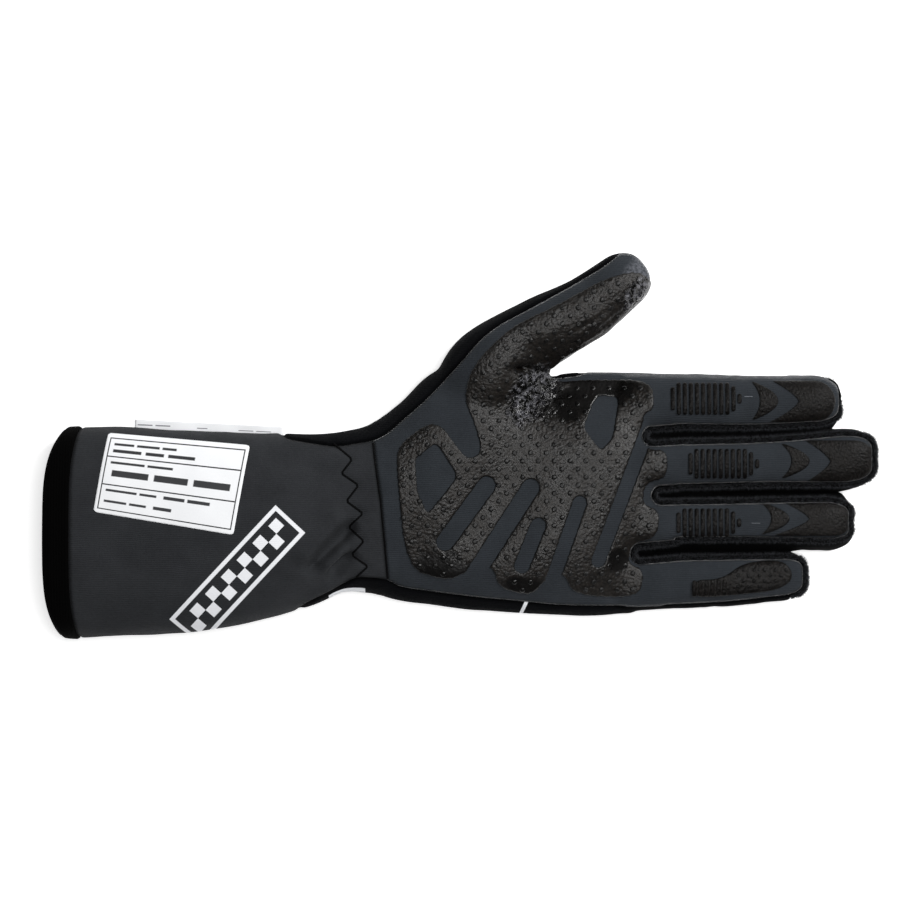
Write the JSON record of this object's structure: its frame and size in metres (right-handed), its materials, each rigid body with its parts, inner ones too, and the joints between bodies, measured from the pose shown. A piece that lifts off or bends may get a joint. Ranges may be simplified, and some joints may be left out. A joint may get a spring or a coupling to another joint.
{
  "type": "racing glove",
  "caption": "Long-cuffed knitted racing glove for the left hand, lying palm up, with raised finger seams, silicone grip print on the palm and an open bound cuff.",
  "frame": {"origin": "on the surface that the glove lies on, under the middle of its outline", "axes": "+X from the cuff's mouth to the finger tips, +Y towards the thumb, +Z out of the palm"},
  "size_m": [0.3342, 0.1538, 0.0387],
  "materials": {
    "palm_cloth": "matte knit",
    "cuff_cloth": "matte knit",
    "back_cloth": "matte knit",
    "seam_cloth": "matte, with a soft nap on its seam edges",
    "binding": "matte tape",
    "grip": "semi-gloss silicone print",
    "label": "smooth printed cloth"
  },
  "bodies": {
    "root": {"palm_panel": "palm_cloth", "back_panel": "back_cloth", "gusset_index_middle": "seam_cloth", "gusset_middle_ring": "seam_cloth", "gusset_ring_little": "seam_cloth", "cuff_front": "cuff_cloth", "cuff_back": "back_cloth", "cuff_binding": "binding", "grip_palm": "grip", "grip_index_ribs": "grip", "grip_middle_ribs": "grip", "grip_ring_ribs": "grip", "grip_index_crescent": "grip", "grip_middle_crescent": "grip", "grip_ring_crescent": "grip", "grip_index_tip": "grip", "grip_middle_tip": "grip", "grip_ring_tip": "grip", "grip_little": "grip", "label_patch": "label", "side_tab": "label"}
  },
  "joints": []
}
